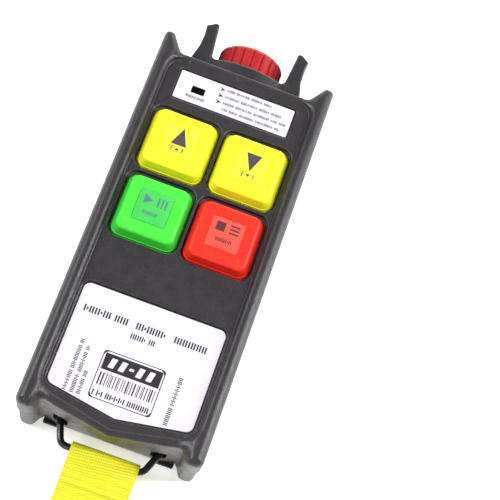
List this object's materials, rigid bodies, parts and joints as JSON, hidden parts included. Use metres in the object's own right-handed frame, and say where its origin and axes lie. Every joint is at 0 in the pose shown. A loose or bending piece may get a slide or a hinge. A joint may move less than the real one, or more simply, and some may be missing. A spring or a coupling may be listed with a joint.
{
  "type": "handheld radio control station",
  "caption": "Handheld hoist control station with square keys, an end-mounted emergency-stop mushroom between guard prongs, a battery door and a webbing lanyard on a bail.",
  "frame": {"origin": "on the flat back face, midway across the width, near the middle of the housing's length", "axes": "+Z out of the key face, +Y along the housing towards the emergency stop, X across the width"},
  "size_m": [0.066, 0.2855, 0.0386],
  "materials": {
    "housing_plastic": "charcoal ABS, fine spark texture",
    "guard_plastic": "charcoal ABS, fine spark texture",
    "key_yellow": "satin yellow key plastic",
    "key_green": "satin green key plastic",
    "key_red": "satin red key plastic",
    "legend_yellow": "printed film under a clear face",
    "legend_green": "printed film under a clear face",
    "legend_red": "printed film under a clear face",
    "mushroom_red": "red mushroom head, satin gloss",
    "label_film": "white printed film label",
    "smoked_window": "smoked window",
    "led_lens": "diffused lens",
    "steel": "plain steel",
    "spring_steel": "spring steel",
    "nickel": "nickel plate",
    "brass": "turned brass",
    "copper_wire": "enamelled copper",
    "board": "green solder mask",
    "component_black": "moulded component bodies",
    "inner_plastic": "plain black moulding",
    "acetal": "natural acetal",
    "seal_rubber": "black silicone rubber",
    "mat_rubber": "grey silicone rubber",
    "cell_wrap": "printed cell jacket",
    "lead_red": "PVC lead",
    "bail_black": "black powder-coated rod",
    "webbing": "yellow polyester webbing, satin",
    "tie_white": "white tie"
  },
  "bodies": {
    "housing": {"front_shell": "housing_plastic", "rear_shell": "housing_plastic", "housing_gasket": "seal_rubber", "estop_guard": "guard_plastic", "status_label": "label_film", "rating_label": "label_film", "led_window": "smoked_window", "status_led": "led_lens", "up_spring": "spring_steel", "down_spring": "spring_steel", "start_spring": "spring_steel", "stop_spring": "spring_steel", "key_guide_plate": "inner_plastic", "key_seal_mat": "mat_rubber", "key_switches": "component_black", "main_board": "board", "radio_module": "nickel", "controller_chip": "component_black", "antenna_coil": "copper_wire", "estop_bushing": "inner_plastic", "estop_nut": "steel", "estop_spring": "spring_steel", "estop_contact_block": "component_black", "estop_leads": "lead_red", "battery_left": "cell_wrap", "battery_right": "cell_wrap", "battery_springs": "nickel", "battery_contacts": "nickel", "battery_leads": "lead_red", "door_insert": "brass", "case_screws": "steel", "bail_brackets": "inner_plastic"},
    "up_button": {"up_key": "key_yellow", "up_insert": "legend_yellow", "up_plunger": "acetal"},
    "down_button": {"down_key": "key_yellow", "down_insert": "legend_yellow", "down_plunger": "acetal"},
    "start_button": {"start_key": "key_green", "start_insert": "legend_green", "start_plunger": "acetal"},
    "stop_button": {"stop_key": "key_red", "stop_insert": "legend_red", "stop_plunger": "acetal"},
    "estop_shaft": {"estop_stem": "steel"},
    "estop_mushroom": {"estop_head": "mushroom_red"},
    "door": {"battery_door": "housing_plastic", "door_seal": "seal_rubber"},
    "door_fastener": {"door_screw": "steel"},
    "bail_loop": {"bail": "bail_black"},
    "lanyard": {"strap": "webbing", "strap_tie": "tie_white"}
  },
  "joints": [
    {"name": "up_press", "type": "slide", "parent": "housing", "child": "up_button", "axis": [0, 0, -1], "range_m": [0, 0.0022], "stiffness_N_per_m": 400, "springref_m": -0.004, "deforming": ["up_spring"]},
    {"name": "down_press", "type": "slide", "parent": "housing", "child": "down_button", "axis": [0, 0, -1], "range_m": [0, 0.0022], "stiffness_N_per_m": 400, "springref_m": -0.004, "deforming": ["down_spring"]},
    {"name": "start_press", "type": "slide", "parent": "housing", "child": "start_button", "axis": [0, 0, -1], "range_m": [0, 0.0022], "stiffness_N_per_m": 400, "springref_m": -0.004, "deforming": ["start_spring"]},
    {"name": "stop_press", "type": "slide", "parent": "housing", "child": "stop_button", "axis": [0, 0, -1], "range_m": [0, 0.0022], "stiffness_N_per_m": 400, "springref_m": -0.004, "deforming": ["stop_spring"]},
    {"name": "estop_press", "type": "slide", "parent": "housing", "child": "estop_shaft", "axis": [0, -1, 0], "range_m": [0, 0.0034], "deforming": ["estop_spring"]},
    {"name": "estop_twist", "type": "hinge", "parent": "estop_shaft", "child": "estop_mushroom", "pos_m": [0, 0.08, 0.0175], "axis": [0, -1, 0], "range_deg": [0, 40], "stiffness_Nm_per_rad": 0.03},
    {"name": "door_swing", "type": "hinge", "parent": "housing", "child": "door", "pos_m": [0, -0.0032, 0.0013], "axis": [1, 0, 0], "range_deg": [0, 90]},
    {"name": "door_screw_turn", "type": "hinge", "parent": "door", "child": "door_fastener", "pos_m": [0, -0.064, 0], "axis": [0, 0, 1], "continuous": true},
    {"name": "bail_swing", "type": "hinge", "parent": "housing", "child": "bail_loop", "pos_m": [0, -0.0625, 0.0124], "axis": [1, 0, 0], "range_deg": [-20, 20]},
    {"name": "strap_swing", "type": "hinge", "parent": "bail_loop", "child": "lanyard", "pos_m": [0, -0.0758, 0.0124], "axis": [1, 0, 0], "range_deg": [-60, 45]}
  ]
}
